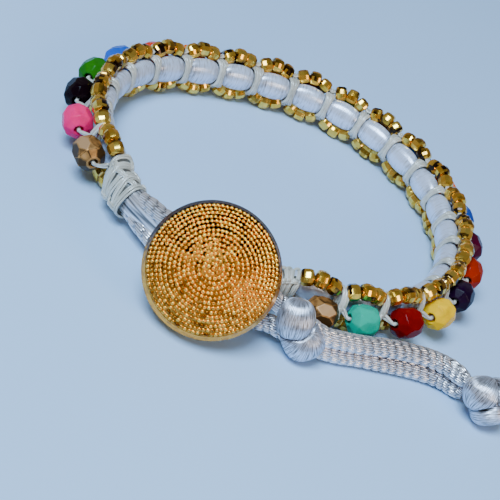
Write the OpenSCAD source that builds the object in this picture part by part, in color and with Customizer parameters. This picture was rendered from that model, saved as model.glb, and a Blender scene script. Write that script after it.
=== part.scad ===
// A knotted bracelet that stands closed on its edge: a white satin core between two edges of gold
// seed beads, a row of coloured faceted beads round the outside, and a gold dome button that the
// two satin strands of the loop pass round. Its front, with the button, faces -Y.

/* [Band] */
// Number of puffed cells, each with one coloured bead outside
segments = 22; // [22:1:22]
// Length of one cell along the band
pitch = 5.7; // [5.6:0.05:5.8]
// Height between the axes of the two beaded edges
edge_gap = 5.3; // [5.2:0.05:5.4]
// Outward lean of the band's top at the back
lean_back = 15.5; // [12:0.5:17]
// Outward lean of the band's top at its two ends
lean_ends = 5; // [3:0.5:8]

/* [Satin core] */
// Height of a puffed cell
cell_h = 3.6; // [3.2:0.1:3.7]
// Thickness of a puffed cell
cell_t = 2.5; // [2.2:0.1:2.5]
// Height where a knot pinches the core
waist_h = 2.4; // [2.2:0.1:2.5]
// Thickness where a knot pinches the core
waist_t = 1.7; // [1.5:0.1:1.8]
// How far the core lies inside the line of the beaded edges
core_in = 1.0; // [1.0:0.05:1.1]

/* [Beaded edges] */
// Diameter of a seed bead
seed_d = 2.2; // [2:0.1:2.2]
// Diameter of the edge where only its thread shows
edge_thread_d = 0.9; // [0.8:0.1:1]

/* [Coloured beads] */
// Diameter across the facets
bead_d = 3.9; // [3.6:0.1:4]
// Length along the hole
bead_l = 3.8; // [3.6:0.1:4]
// Diameter of the hole
bead_hole_d = 1.1; // [1.1:0.1:1.2]
// Facets round each row
bead_facets = 8; // [8:1:9]
// How far the bead's hole lies outside the line of the beaded edges
bead_out = 2.35; // [2.35:0.05:2.5]
// How far the bead's hole lies above the middle of the band
bead_up = 0.5; // [0.4:0.05:0.55]
// Diameter of the thread through the coloured beads
bead_thread_d = 0.6; // [0.5:0.1:0.6]

/* [Knots between the cells] */
// Width of a knot along the band
tie_w = 0.9; // [0.8:0.1:1]
// Height of a knot
tie_h = 4.1; // [3.6:0.1:4.1]
// Thickness of a knot, through the band
tie_t = 3.4; // [3.2:0.1:3.5]
// How far a knot's middle lies inside the line of the beaded edges
tie_in = 0.7; // [0.6:0.05:0.75]

/* [Knotted sleeves] */
// Knots in each sleeve
sleeve_knots = 5; // [4:1:5]
// Height of the left sleeve across a knot
left_sleeve_h = 5; // [4.8:0.1:5.2]
// Height of the right sleeve across a knot
right_sleeve_h = 4.5; // [4.3:0.1:4.7]
// Thickness of a sleeve across a knot
sleeve_t = 3.7; // [3.5:0.1:4]
// Depth of the groove between two knots
sleeve_groove = 0.35; // [0.2:0.05:0.4]
// Length of the right sleeve, in cells
right_sleeve_len = 0.75; // [0.7:0.05:0.8]

/* [Button] */
// Diameter of the button
button_d = 15; // [14.8:0.1:15.1]
// Height of the dome above the rim
dome_h = 2.5; // [2.3:0.1:2.8]
// Width of the plain rim round the dome
rim_w = 0.45; // [0.35:0.05:0.6]
// Height of the rim, from its back to the foot of the dome
rim_t = 1.65; // [1.4:0.05:1.8]
// Rings of beading round the dome
dome_rings = 13; // [10:1:13]
// How far the beading stands out of the dome
beading = 0.22; // [0.15:0.01:0.25]
// Distance from the rim's middle to the shank's eye
shank_l = 5; // [4.9:0.1:5.2]
// Diameter of the shank's stem
stem_d = 2; // [1.8:0.1:2]
// Outside diameter of the shank's eye
eye_d = 3.4; // [3.2:0.1:3.4]
// Diameter of the hole through the shank's eye
eye_hole_d = 2.1; // [2:0.1:2.1]
// Thickness of the shank's eye
eye_t = 1.5; // [1.3:0.1:1.6]

/* [Loop and its knots] */
// Diameter of each satin strand
strand_d = 2.2; // [2.1:0.05:2.2]
// Height of the knot beside the button
stop_knot_h = 7.2; // [7:0.1:7.4]
// Width of the knot beside the button
stop_knot_w = 5.4; // [5.2:0.1:5.6]
// Height of the knot that ends the loop
end_knot_h = 6.4; // [6.2:0.1:6.6]
// Width of the knot that ends the loop
end_knot_w = 6.2; // [6:0.1:6.4]

/* [Hidden] */
bead_names = [for (i = [1:segments]) str("bead_", i < 10 ? "0" : "", i)];

// Colours of the coloured beads, from the left end of the band round to the right end
bead_colours = [
    "#8a6038", "#ff5f94", "#3a1233", "#2f9a4d", "#2866c8", "#e8472a", "#f07a1c", "#5a1c33",
    "#f2c21a", "#8e1220", "#2f9a4d", "#8e1220", "#2866c8", "#f07a1c", "#1f4fae", "#b01764",
    "#f0641c", "#4b1440", "#f6cf1e", "#a3080c", "#19b79c", "#8a6038",
];
satin_colour = "#eef1f8";
thread_colour = "#dcd6c4";
gold_colour = "#c79a2e";

// The plan of the whole line: it starts at the left sleeve's mouth and goes clockwise round the
// wrist to the eye of the button's shank. Columns: length in cells, degrees of right turn per cell
LENGTH = 0;
TURN = 1;
left_sleeve_len = 0.9;
line_bends = [
    [left_sleeve_len, 8],
    [1, 8],
    [5, 15.9],
    [3, 8.2],
    [5, 15.8],
    [4, 12.4],
    [4, 16.5],
    [0.9, -57],
    [0.9, 57],
];
line_start = [-13.1, -17.4];
line_heading = 141.4;
line_step = 1 / 8;
tail_len = 1.95;
line_len = left_sleeve_len + segments + tail_len;

// Height of the line's middle at the left sleeve's mouth, and how far the sleeve turns over there
mouth_z = 3.3;
mouth_twist = 38;

// The knot beside the button pushes the last coloured bead back along the band and outwards
last_bead_back = 0.15;
last_bead_out = 0.45;

// Where the button stands, the tilt of its face above level and its turn to the right
button_at = [-1.4, -26.8, 7.1];
button_tilt = 39;
button_turn = 3;
face = [sin(button_turn) * cos(button_tilt), -cos(button_turn) * cos(button_tilt), sin(button_tilt)];
eye_at = button_at - face * shank_l;

// Routes of the two satin strands, from the left sleeve's mouth behind the button to the end knot
upper_route = [
    [-12.6, -17.3, 4.4], [-11, -18.4, 4.9], [-9.1, -19.7, 5.3], [-6.8, -20.7, 6],
    [-4.5, -21.5, 6.6], [-2.2, -22.1, 7], [0.2, -22.5, 6.8], [2.5, -22.9, 6.2], [4.7, -23, 5.5],
    [6.7, -22.9, 4.8], [9.7, -23, 4.4], [12.7, -22.6, 3.7], [14.8, -21.5, 3.5],
    [17.2, -20.1, 3.4], [19.8, -18.4, 3.4], [22.4, -17, 3.4], [25.1, -15.9, 3.4],
    [27.4, -15.6, 3.4], [28.6, -15.9, 3.4], [29.4, -16.3, 3.4],
];
lower_route = [
    [-13.1, -17.7, 2.6], [-11.5, -18.7, 2.4], [-9.4, -20, 2.3], [-7.1, -21.6, 2.1],
    [-4.7, -23.3, 1.9], [-2.2, -24.9, 1.5], [0.4, -25.2, 1.5], [2.9, -24.6, 1.7], [5.1, -23.8, 1.9],
    [7, -23.2, 2.1], [9.9, -23, 1.9], [12.8, -22.2, 1.5], [14.9, -21.1, 1.2],
    [17.2, -19.7, 1.15], [19.7, -18.4, 1.15], [22.1, -17.2, 1.15], [24.6, -16.1, 1.15],
    [27.1, -15.4, 1.15], [28.9, -15.4, 1.15], [29.8, -15.7, 1.2],
];
STOP_IN = 9;
STOP_OUT = 11;

// The knots' own axes: across, up and out to the front
knot_across = [0.88, 0.26, 0.4];
knot_up = [-0.48, 0.48, 0.73];
knot_front = [0, -0.84, 0.54];
stop_knot_at = [10, -23.5, 3.4];
end_knot_at = [32.7, -17.3, 3.25];

// Sides of the swept shapes
core_sides = 12;
tube_sides = 8;
wrap_sides = 10;
lobe_sides = 12;

function turned(s, row = 0) =
    row >= len(line_bends) ? 0
    : min(max(s, 0), line_bends[row][LENGTH]) * line_bends[row][TURN]
        + turned(s - line_bends[row][LENGTH], row + 1);

function heading(s) = line_heading - turned(s);

function toward(angle) = [cos(angle), sin(angle)];

// Plan points of the line, one every step
trail = [
    for (k = 0, at = line_start; k <= line_len / line_step + 1;
         at = at + toward(heading((k + 0.5) * line_step)) * line_step * pitch, k = k + 1)
        at
];

function plan(s) =
    let (k = floor(s / line_step), part = s / line_step - k)
    trail[k] * (1 - part) + trail[k + 1] * part;

// Place of a cell's share along the line: 0 is the band's left end, one unit is one cell
function place(u) = u + left_sleeve_len;

function lean(u) =
    let (from_back = (u - segments / 2 + 0.5) / (segments / 2))
    max(lean_back - (lean_back - lean_ends) * pow(from_back, 2), lean_ends - 2);

function twist(u) = u < 0 ? -mouth_twist * (-u / left_sleeve_len) : 0;

// Height of the line's middle: level round the band, then down to the mouth and across to the eye
function middle_z(u) =
    let (band_z = seed_d / 2 + cos(lean(u)) * edge_gap / 2)
    u < 0 ? band_z + (mouth_z - band_z) * pow(-u / left_sleeve_len, 2)
    : u > segments ? band_z + (eye_at[2] - band_z) * min((u - segments) / 1.6, 1)
    : band_z;

function left_of(u) = let (h = heading(place(u))) [-sin(h), cos(h)];

// Unit vectors of the band at u: along it, outwards, and up its height
function along(u) = let (way = heading(place(u))) [cos(way), sin(way), 0];

function out_axis(u) =
    let (n = left_of(u), a = lean(u) + twist(u))
    [n[0] * cos(a), n[1] * cos(a), -sin(a)];

function up_axis(u) =
    let (n = left_of(u), a = lean(u) + twist(u))
    [n[0] * sin(a), n[1] * sin(a), cos(a)];

function at(u, out = 0, up = 0) =
    let (p = plan(place(u)))
    [p[0], p[1], middle_z(u)] + out_axis(u) * out + up_axis(u) * up;

// An oval ring of points about a centre
function oval(centre, axis_a, axis_b, half_a, half_b, sides) = [
    for (j = [0:sides - 1])
        centre + axis_a * half_a * cos(360 * j / sides) + axis_b * half_b * sin(360 * j / sides)
];

function ring_at(u, out, t, h, sides) =
    oval(at(u, out), out_axis(u), up_axis(u), t / 2, h / 2, sides);

function unit(v) = v / norm(v);

function joined(lists) = [for (list = lists) each list];

// Two triangles for each side of a strip between one ring and the next
function strip(a, b, n) = [
    for (j = [0:n - 1])
        let (k = (j + 1) % n)
        each [[a + j, b + j, b + k], [a + j, b + k, a + k]]
];

// A closed solid skinned over a row of rings
module skin(rings) {
    n = len(rings[0]);
    last = len(rings) - 1;
    polyhedron(
        points = joined(rings),
        faces = concat(
            [[for (j = [0:n - 1]) j]],
            joined([for (i = [0:last - 1]) strip(i * n, (i + 1) * n, n)]),
            [[for (j = [n - 1:-1:0]) last * n + j]]
        )
    );
}

// A closed tube with a wall, skinned over outer rings and as many inner rings
module sleeve_skin(outer, inner) {
    n = len(outer[0]);
    m = len(outer);
    last = m - 1;
    polyhedron(
        points = concat(joined(outer), joined(inner)),
        faces = concat(
            joined([for (i = [0:last - 1]) strip(i * n, (i + 1) * n, n)]),
            joined([for (i = [0:last - 1]) strip((m + i + 1) * n, (m + i) * n, n)]),
            strip(m * n, 0, n),
            strip(last * n, (m + last) * n, n)
        )
    );
}

// Rings of a round tube along a route
function route_side(route, k) =
    let (ahead = route[min(k + 1, len(route) - 1)], behind = route[max(k - 1, 0)])
    unit(cross([0, 0, 1], ahead - behind));

function route_ring(route, k, d) =
    let (
        ahead = route[min(k + 1, len(route) - 1)],
        behind = route[max(k - 1, 0)],
        side = route_side(route, k),
        up = unit(cross(unit(ahead - behind), side))
    )
    oval(route[k], side, up, d / 2, d / 2, tube_sides);

// The strands are squeezed together in the sleeve's mouth and reach their full width beyond it
function strand_width(k) = strand_d * lookup(k, [[0, 0.7], [2, 1]]);

// A strand runs into the knot beside the button, and on from it into the knot at the end
module strand(route) {
    for (stretch = [[0, STOP_IN], [STOP_OUT, len(route) - 1]])
        skin([for (k = [stretch[0]:stretch[1]]) route_ring(route, k, strand_width(k))]);
}

// The two puffed lobes of each knot, as shares of its width and height.
// Columns: place across, up and to the front, then half sizes across, up and to the front
stop_knot_lobes = [
    [-0.063, 0.167, 0.1, 0.4, 0.347, 0.407],
    [0.043, -0.175, -0.085, 0.47, 0.325, 0.39],
];
end_knot_lobes = [
    [-0.05, 0.16, 0.06, 0.46, 0.34, 0.44],
    [0.03, -0.18, 0, 0.48, 0.33, 0.45],
];

// How far a lobe's skin lies from the knot's axis at a place across and an angle round the axis
function lobe_reach(lobe, w, h, x, angle) =
    let (
        left = 1 - pow((x - lobe[0] * w) / (lobe[3] * w), 2),
        half_up = lobe[4] * h * sqrt(max(left, 0)),
        half_front = lobe[5] * w * sqrt(max(left, 0)),
        mid_up = lobe[1] * h,
        mid_front = lobe[2] * w
    )
    left <= 0 || pow(mid_up / half_up, 2) + pow(mid_front / half_front, 2) >= 1 ? 0
    : let (
        a = pow(cos(angle) / half_up, 2) + pow(sin(angle) / half_front, 2),
        b = mid_up * cos(angle) / pow(half_up, 2) + mid_front * sin(angle) / pow(half_front, 2),
        c = pow(mid_up / half_up, 2) + pow(mid_front / half_front, 2) - 1
    )
    (b + sqrt(b * b - a * c)) / a;

// A knot with one lobe over the front of the other, skinned across as one solid
knot_stations = [-0.38, -0.33, -0.22, -0.08, 0.08, 0.22, 0.33, 0.39];
module knot_body(centre, w, h, lobes) {
    skin([
        for (share = knot_stations)
            [for (j = [0:lobe_sides - 1])
                let (
                    angle = 360 * j / lobe_sides,
                    reach = max([for (lobe = lobes) lobe_reach(lobe, w, h, share * w, angle)])
                )
                centre + knot_across * share * w
                    + (knot_up * cos(angle) + knot_front * sin(angle)) * reach]
    ]);
}

// The core's line, how far it lies outside the line of the beaded edges, and its size in the
// sleeves. Columns: place along the band, and then the distance, thickness or height
mouth_core_h = 3.6;
mouth_core_t = 1.9;
tail_d = 1.5;
cells_from = 0.1;
cells_to = segments - 0.1;
core_offsets = [
    [-left_sleeve_len, 0], [-0.35, 0.3], [cells_from, -core_in],
    [cells_to, -core_in], [segments + 0.35, 0.2], [segments + 1.3, 0],
];
sleeve_core_t = [
    [-left_sleeve_len, mouth_core_t], [cells_from, waist_t], [cells_to, waist_t], [segments + 1, tail_d],
];
sleeve_core_h = [
    [-left_sleeve_len, mouth_core_h], [cells_from, waist_h], [cells_to, waist_h], [segments + 1, tail_d],
];

function core_out(u) = lookup(u, core_offsets);

function core_ring(u, puff, play, sides) =
    let (
        t = lookup(u, sleeve_core_t) + (cell_t - waist_t) * puff,
        h = lookup(u, sleeve_core_h) + (cell_h - waist_h) * puff
    )
    ring_at(u, core_out(u), t + 2 * play, h + 2 * play, sides);

// Core sections along one cell. Columns: share of the cell, share of the way from waist to full
cell_rows = [[0.1, 0], [0.26, 0.8], [0.5, 1], [0.74, 0.8], [0.9, 0]];
SHARE = 0;
FULL = 1;

// The core from the sleeve's mouth, through the cells and on through the shank's eye
module satin_core() {
    left = [for (u = [-left_sleeve_len, -0.7, -0.5, -0.35, -0.15]) core_ring(u, 0, 0, core_sides)];
    cells = [
        for (i = [0:segments - 1], row = cell_rows) core_ring(i + row[SHARE], row[FULL], 0, core_sides)
    ];
    right = [
        for (past = [0.1, 0.35, 0.7, 1, 1.3, 1.65, tail_len]) core_ring(segments + past, 0, 0, core_sides)
    ];
    color(satin_colour) skin(concat(left, cells, right));
}

// The crossing knots that pinch the core between two cells
tie_play = 0.24;
module core_knots() {
    color(thread_colour)
        for (i = [1:segments - 1])
            sleeve_skin(
                [for (u = [i - tie_w / pitch / 2, i + tie_w / pitch / 2])
                    ring_at(u, -tie_in, tie_t, tie_h, wrap_sides)],
                [for (u = [i - tie_w / pitch / 2, i + tie_w / pitch / 2])
                    core_ring(u, 0, tie_play, wrap_sides)]
            );
}

// One beaded edge: full width along each group of seed beads, thread only between two groups
group_margin = 0.2;
module beaded_edge(up) {
    color(gold_colour)
        skin(concat(
            joined([for (i = [0:segments - 1]) [
                ring_at_edge(i + (i == 0 ? 0.03 : 0), up, edge_thread_d),
                ring_at_edge(i + group_margin, up, seed_d),
                ring_at_edge(i + 1 - group_margin, up, seed_d),
            ]]),
            [ring_at_edge(segments - 0.03, up, edge_thread_d)]
        ));
}

function ring_at_edge(u, up, d) =
    oval(at(u, 0, up), out_axis(u), up_axis(u), d / 2, d / 2, tube_sides);

module upper_edge() beaded_edge(edge_gap / 2);
module lower_edge() beaded_edge(-edge_gap / 2);

// Place along the band and centre of a coloured bead
function bead_u(i) = i + 0.5 - (i == segments - 1 ? last_bead_back : 0);
function bead_centre(i) = at(bead_u(i), bead_out + (i == segments - 1 ? last_bead_out : 0), bead_up);

// The thread that runs through all the coloured beads and dips to each knot between them
thread_dip = 1.5;
thread_reach = 2.05;
module bead_thread() {
    ends = [for (i = [0:segments - 1], side = [-1, 1])
        bead_centre(i) + along(bead_u(i)) * side * thread_reach];
    stops = joined([for (i = [0:segments - 1]) [
        ends[2 * i],
        ends[2 * i + 1],
        if (i < segments - 1) at((bead_u(i) + bead_u(i + 1)) / 2, thread_dip, bead_up),
    ]]);
    color(thread_colour)
        skin([for (k = [0:len(stops) - 1]) thread_ring(stops, k)]);
}

function thread_ring(stops, k) =
    let (
        ahead = stops[min(k + 1, len(stops) - 1)],
        behind = stops[max(k - 1, 0)],
        side = unit(cross([0, 0, 1], ahead - behind)),
        up = unit(cross(unit(ahead - behind), side))
    )
    oval(stops[k], side, up, bead_thread_d / 2, bead_thread_d / 2, tube_sides);

// Facet rows of a coloured bead. Columns: place along the hole, radius, both as shares
bead_rows = [[-1, 0.42], [-0.68, 0.82], [0, 1], [0.68, 0.82], [1, 0.42]];

// A bead of flat facets, each row turned half a facet from the last, drilled along X
module faceted_bead() {
    difference() {
        skin([
            for (row = [0:len(bead_rows) - 1])
                [for (j = [0:bead_facets - 1])
                    let (a = 360 * (j + row / 2) / bead_facets)
                    [
                        bead_rows[row][0] * bead_l / 2,
                        bead_rows[row][1] * bead_d / 2 * cos(a),
                        bead_rows[row][1] * bead_d / 2 * sin(a)
                    ]]
        ]);
        translate([-bead_l, 0, 0])
            rotate([0, 90, 0])
                cylinder(h = 2 * bead_l, d = bead_hole_d, $fn = 24);
    }
}

module bead(i) {
    color(bead_colours[i])
        translate(bead_centre(i))
            rotate([-lean(bead_u(i)), 0, heading(place(bead_u(i)))])
                faceted_bead();
}

// A knotted sleeve round the core between two places on the line, with a bulge at each knot.
// Its outer side is thicker, where the threads of the beads run in
sleeve_play = 0.15;
sleeve_extra = 0.2;
module sleeve(from, to, height) {
    rings = 2 * sleeve_knots;
    stations = [for (k = [0:rings]) from + (to - from) * k / rings];
    color(thread_colour)
        sleeve_skin(
            [for (k = [0:rings])
                let (groove = k % 2 == 0 ? 2 * sleeve_groove : 0)
                ring_at(stations[k], core_out(stations[k]) + sleeve_extra, sleeve_t - groove,
                    height - groove, wrap_sides)],
            [for (u = stations) core_ring(u, 0, sleeve_play, wrap_sides)]
        );
}

module left_sleeve() sleeve(-left_sleeve_len, -0.02, left_sleeve_h);
module right_sleeve() sleeve(segments + 0.02, segments + right_sleeve_len, right_sleeve_h);

// Section of the button, from its axis out: back plate, rounded rim, sloping side and dome with its
// beading. The rim's back lies a little behind the plane that the shank is measured from
dome_r = button_d / 2 - rim_w;
dome_ball_r = (pow(dome_r, 2) + pow(dome_h, 2)) / (2 * dome_h);
rim_back = 0.55;
rim_top = rim_t - rim_back;
dome_ball_z = rim_top + dome_h - dome_ball_r;
dome_half_angle = asin(dome_r / dome_ball_r);
beading_r = dome_ball_r * dome_half_angle * PI / 180 / dome_rings / 2;

module button_section() {
    intersection() {
        union() {
            translate([0, dome_ball_z]) circle(r = dome_ball_r, $fn = 120);
            for (k = [1:dome_rings])
                let (angle = dome_half_angle * (k - 0.5) / dome_rings)
                translate([0, dome_ball_z] + (dome_ball_r + beading - beading_r) * [sin(angle), cos(angle)])
                    circle(r = beading_r, $fn = 16);
        }
        translate([0, rim_top - 0.2]) square([dome_r, dome_h + 1]);
    }
    translate([0, -rim_back]) square([button_d / 2 - rim_back, rim_t]);
    translate([button_d / 2 - rim_back, 0]) circle(r = rim_back, $fn = 32);
    polygon([
        [button_d / 2 - 2 * rim_back, 0], [button_d / 2, 0],
        [dome_r, rim_top], [button_d / 2 - 2 * rim_back, rim_top],
    ]);
}

module shank() {
    difference() {
        union() {
            translate([0, 0, -shank_l]) cylinder(h = shank_l - rim_back / 2, d = stem_d, $fn = 32);
            translate([-eye_t / 2, 0, -shank_l]) rotate([0, 90, 0]) cylinder(h = eye_t, d = eye_d, $fn = 48);
        }
        translate([-eye_d, 0, -shank_l]) rotate([0, 90, 0]) cylinder(h = 2 * eye_d, d = eye_hole_d, $fn = 48);
    }
}

module button() {
    color(gold_colour)
        translate(button_at)
            rotate([90 - button_tilt, 0, button_turn])
                union() {
                    rotate_extrude($fn = 96) button_section();
                    shank();
                }
}

module upper_strand() color(satin_colour) strand(upper_route);
module lower_strand() color(satin_colour) strand(lower_route);

module stop_knot()
    color(satin_colour) knot_body(stop_knot_at, stop_knot_w, stop_knot_h, stop_knot_lobes);
module end_knot()
    color(satin_colour) knot_body(end_knot_at, end_knot_w, end_knot_h, end_knot_lobes);

satin_core();
core_knots();
upper_edge();
lower_edge();
bead_thread();
for (i = [0:segments - 1])
    bead(i);
left_sleeve();
right_sleeve();
button();
upper_strand();
lower_strand();
stop_knot();
end_knot();
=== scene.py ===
"""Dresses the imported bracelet: braided satin loop, puffed satin cells, knotted thread, gold seed
beads, faceted glass beads and the beaded gold button, on a plain pale floor."""

import random
from math import asin, atan2, copysign, cos, hypot, pi, radians, sin, sqrt, tau

import bmesh
import bpy
from bpy.props import FloatProperty, FloatVectorProperty, IntProperty, PointerProperty
from mathutils import Matrix, Vector, noise


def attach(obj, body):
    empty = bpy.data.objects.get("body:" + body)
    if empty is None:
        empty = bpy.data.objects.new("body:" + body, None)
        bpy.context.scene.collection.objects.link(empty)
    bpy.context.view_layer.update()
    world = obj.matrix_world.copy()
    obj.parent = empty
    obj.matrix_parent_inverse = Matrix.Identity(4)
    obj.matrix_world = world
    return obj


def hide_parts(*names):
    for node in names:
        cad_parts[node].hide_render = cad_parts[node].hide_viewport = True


bl_info = {
    "name": "Knotted Bracelet",
    "version": (1, 0, 0),
    "blender": (4, 5, 0),
    "location": "3D Viewport > Sidebar > Bracelet",
    "description": "Dresses a knotted bracelet with satin, thread, seed beads and a beaded button",
    "category": "Object",
}

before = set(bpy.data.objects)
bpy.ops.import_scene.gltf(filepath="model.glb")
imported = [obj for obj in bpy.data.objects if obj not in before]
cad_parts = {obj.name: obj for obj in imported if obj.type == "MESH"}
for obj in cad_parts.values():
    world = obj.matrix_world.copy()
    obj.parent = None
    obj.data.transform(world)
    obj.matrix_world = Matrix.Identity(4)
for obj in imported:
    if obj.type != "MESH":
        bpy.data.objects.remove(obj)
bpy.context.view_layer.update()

MM = 0.001
CELLS = 22
PITCH = 5.7  # length of one cell along the band, in millimetres

# The plan of the band's line, as the part has it. Columns: length in cells, right turn per cell
LINE_BENDS = ((0.9, 8), (1, 8), (5, 15.9), (3, 8.2), (5, 15.8), (4, 12.4), (4, 16.5), (0.9, -57), (0.9, 57))
LINE_START = Vector((-13.1, -17.4))
LINE_HEADING = 141.4
LINE_STEP = 1 / 8
TRAIL_STEPS = 212

# The sleeve's mouth at the left end: its place in cells, its height and the band's twist up to it
MOUTH, MOUTH_Z, MOUTH_TWIST = -0.9, 3.3, 38

# The rows of seed beads: how far apart they are and how high the lower one lies. The band leans back
# by these degrees, most at the back
EDGE_GAP, EDGE_RADIUS = 5.3, 1.1
LEAN_BACK, LEAN_ENDS = 15.5, 5

# The core: its distance outside the line, its thickness and its height along the band
CORE_OUT = ((-0.9, 0), (-0.35, 0.3), (0.1, -1), (21.9, -1), (22.35, 0.2), (23.3, 0))
CORE_T = ((-0.9, 1.9), (0.1, 1.7), (21.9, 1.7), (23, 1.5))
CORE_H = ((-0.9, 3.6), (0.1, 2.4), (21.9, 2.4), (23, 1.5))

# The wraps round the core between two cells: their distance outside the line and their half sizes
WRAP_OUT, WRAP_T, WRAP_H = -0.8, 1.08, 1.74

# The button: its place, how far its face is tilted up and turned aside, and how far back its eye lies
BUTTON_AT = Vector((-1.4, -26.8, 7.1))
BUTTON_TILT = 39
BUTTON_TURN = 3
SHANK = 5
SHANK_CELLS = 1.6  # cells past the last one in which the band rises or falls to the shank's eye

# The coloured beads' row: its distance outside the line and above it, and how far the last bead is
# pushed back from the button (in cells) and outwards
BEADS_OUT, BEADS_UP = 2.35, 0.5
LAST_BEAD_BACK, LAST_BEAD_OUT = 0.15, 0.45

# The camera's place in millimetres, its own axes and its lens
EYE_AT = Vector((1.1, -144.9, 88.9))
EYE_RIGHT = Vector((0.8769, 0.2631, 0.4022))
EYE_UP = Vector((-0.4806, 0.48, 0.7339))
EYE_BACK = Vector((0, -0.8369, 0.5474))
LENS, SENSOR = 97.6, 36

CURVE_STEPS = 12  # points that a smooth path is first laid out with, from one given point to the next
THREAD_STEP = 0.2 * MM
THREAD_SIDES = 8
PLIES = 3
PLY_LAY = 1.3 * MM
PLY_DEPTH = 0.09

# Routes of the two satin strands, from the left sleeve's mouth behind the button to the end knot
UPPER_ROUTE = (
    (-12.6, -17.3, 4.4), (-11, -18.4, 4.9), (-9.1, -19.7, 5.3), (-6.8, -20.7, 6), (-4.5, -21.5, 6.6),
    (-2.2, -22.1, 7), (0.2, -22.5, 6.8), (2.5, -22.9, 6.2), (4.7, -23, 5.5), (6.7, -22.9, 4.8),
    (9.7, -23, 4.4), (12.7, -22.6, 3.7), (14.8, -21.5, 3.5), (17.2, -20.1, 3.4), (19.8, -18.4, 3.4),
    (22.4, -17, 3.4), (25.1, -15.9, 3.4), (27.4, -15.6, 3.4), (28.6, -15.9, 3.4), (29.4, -16.3, 3.4),
)
LOWER_ROUTE = (
    (-13.1, -17.7, 2.6), (-11.5, -18.7, 2.4), (-9.4, -20, 2.3), (-7.1, -21.6, 2.1), (-4.7, -23.3, 1.9),
    (-2.2, -24.9, 1.5), (0.4, -25.2, 1.5), (2.9, -24.6, 1.7), (5.1, -23.8, 1.9), (7, -23.2, 2.1),
    (9.9, -23, 1.9), (12.8, -22.2, 1.5), (14.9, -21.1, 1.2), (17.2, -19.7, 1.15), (19.7, -18.4, 1.15),
    (22.1, -17.2, 1.15), (24.6, -16.1, 1.15), (27.1, -15.4, 1.15), (28.9, -15.4, 1.15), (29.8, -15.7, 1.2),
)
KNOT_ACROSS = Vector((0.88, 0.26, 0.4))
KNOT_UP = Vector((-0.48, 0.48, 0.73))
KNOT_FRONT = Vector((0, -0.84, 0.54))
STOP_KNOT_AT = Vector((10, -23.5, 3.4))
END_KNOT_AT = Vector((32.7, -17.3, 3.25))

# The turns of each knot, in millimetres along its own axes: centre across, up and to the front,
# half sizes, roll in degrees, and the way that its filaments run
STOP_KNOT_TURNS = (
    ((-0.35, 1.2, 0.6), (2.12, 2.42, 2.0), -12, (0.2, 1, 0.15)),
    ((0.42, -0.9, -0.45), (2.42, 2.58, 1.95), 20, (0.45, 0.35, 1)),
)
END_KNOT_TURNS = (
    ((-0.6, 0.55, 0.5), (2.18, 2.08, 2.1), 0, (0.62, 0.78, 0.1)),
    ((0.25, -1.5, -0.15), (2.18, 1.6, 2.2), 8, (1, 0.12, 0.3)),
    ((1.2, 0.2, -0.1), (1.8, 2.15, 2.05), -8, (-0.35, 0.9, 0.2)),
)

# The glass of each coloured bead, from the left end of the band round to the right end
BEAD_ORDER = (
    "bronze", "pink", "plum", "green", "blue", "coral", "orange", "wine", "yellow", "garnet", "green",
    "garnet", "blue", "orange", "navy", "magenta", "tangerine", "aubergine", "sun", "ruby", "turquoise",
    "bronze",
)

GLASS = {
    "bronze": "#c88c4c", "pink": "#ff2470", "plum": "#0e0208", "green": "#226a0e", "blue": "#1a58c0",
    "coral": "#e0381c", "orange": "#f06a08", "wine": "#3a0a1c", "yellow": "#e89c00",
    "garnet": "#78060e", "navy": "#0f3c98", "magenta": "#480220", "tangerine": "#9c1c00",
    "aubergine": "#1a0420", "sun": "#ffc200", "ruby": "#7c0000", "turquoise": "#00a888",
}


def colour(code):
    """A colour written as six hexadecimal digits, as Blender's linear red, green and blue."""
    parts = [int(code[k:k + 2], 16) / 255 for k in (1, 3, 5)]
    return tuple(c / 12.92 if c <= 0.04045 else ((c + 0.055) / 1.055) ** 2.4 for c in parts)


def length_prop(name, text, millimetres, least, most):
    return FloatProperty(
        name=name, description=text, default=millimetres * MM, min=least * MM, max=most * MM,
        unit="LENGTH", subtype="DISTANCE",
    )


def colour_prop(name, text, code):
    return FloatVectorProperty(
        name=name, description=text, default=colour(code), min=0, max=1, size=3, subtype="COLOR",
    )


class BraceletSizes(bpy.types.PropertyGroup):
    """Sizes of the bracelet's beads, threads and satin"""

    cell_height: length_prop("Cell height", "Height of a puffed satin cell", 3.6, 3.2, 3.7)
    cell_depth: length_prop("Cell depth", "Thickness of a puffed satin cell", 2.5, 2.2, 2.5)
    seed_width: length_prop("Seed bead width", "Outside diameter of a seed bead", 2.1, 1.9, 2.2)
    seed_length: length_prop("Seed bead length", "Length of a seed bead along its hole", 1.62, 1.5, 1.75)
    seed_hole: length_prop("Seed bead hole", "Diameter of a seed bead's hole", 0.8, 0.6, 0.9)
    seed_bow: length_prop("Seed bow", "How far a group's middle seed stands past its neighbours", 0.38, 0, 0.4)
    glass_width: length_prop("Glass bead width", "Diameter of a coloured bead across its facets", 3.9, 3.6, 4)
    glass_length: length_prop("Glass bead length", "Length of a coloured bead along its hole", 3.8, 3.6, 4)
    glass_hole: length_prop("Glass bead hole", "Diameter of a coloured bead's hole", 1.1, 1, 1.2)
    thread: length_prop("Thread width", "Width of the knotting thread", 0.44, 0.35, 0.5)
    strand: length_prop("Strand width", "Diameter of a braided satin strand", 2.2, 2.1, 2.2)
    float_length: length_prop("Float length", "Length of one float of the braid", 1.08, 0.8, 1.4)
    float_columns: IntProperty(
        name="Float columns", description="Columns of floats round a strand", default=24, min=16, max=28)
    button: length_prop("Button width", "Diameter of the button", 15, 14.8, 15.1)
    dome: length_prop("Dome height", "Height of the button's dome above its rim", 2.5, 2.3, 2.8)
    button_rings: IntProperty(
        name="Bead rings", description="Rings of small bumps on the button", default=15, min=10, max=16)


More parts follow.
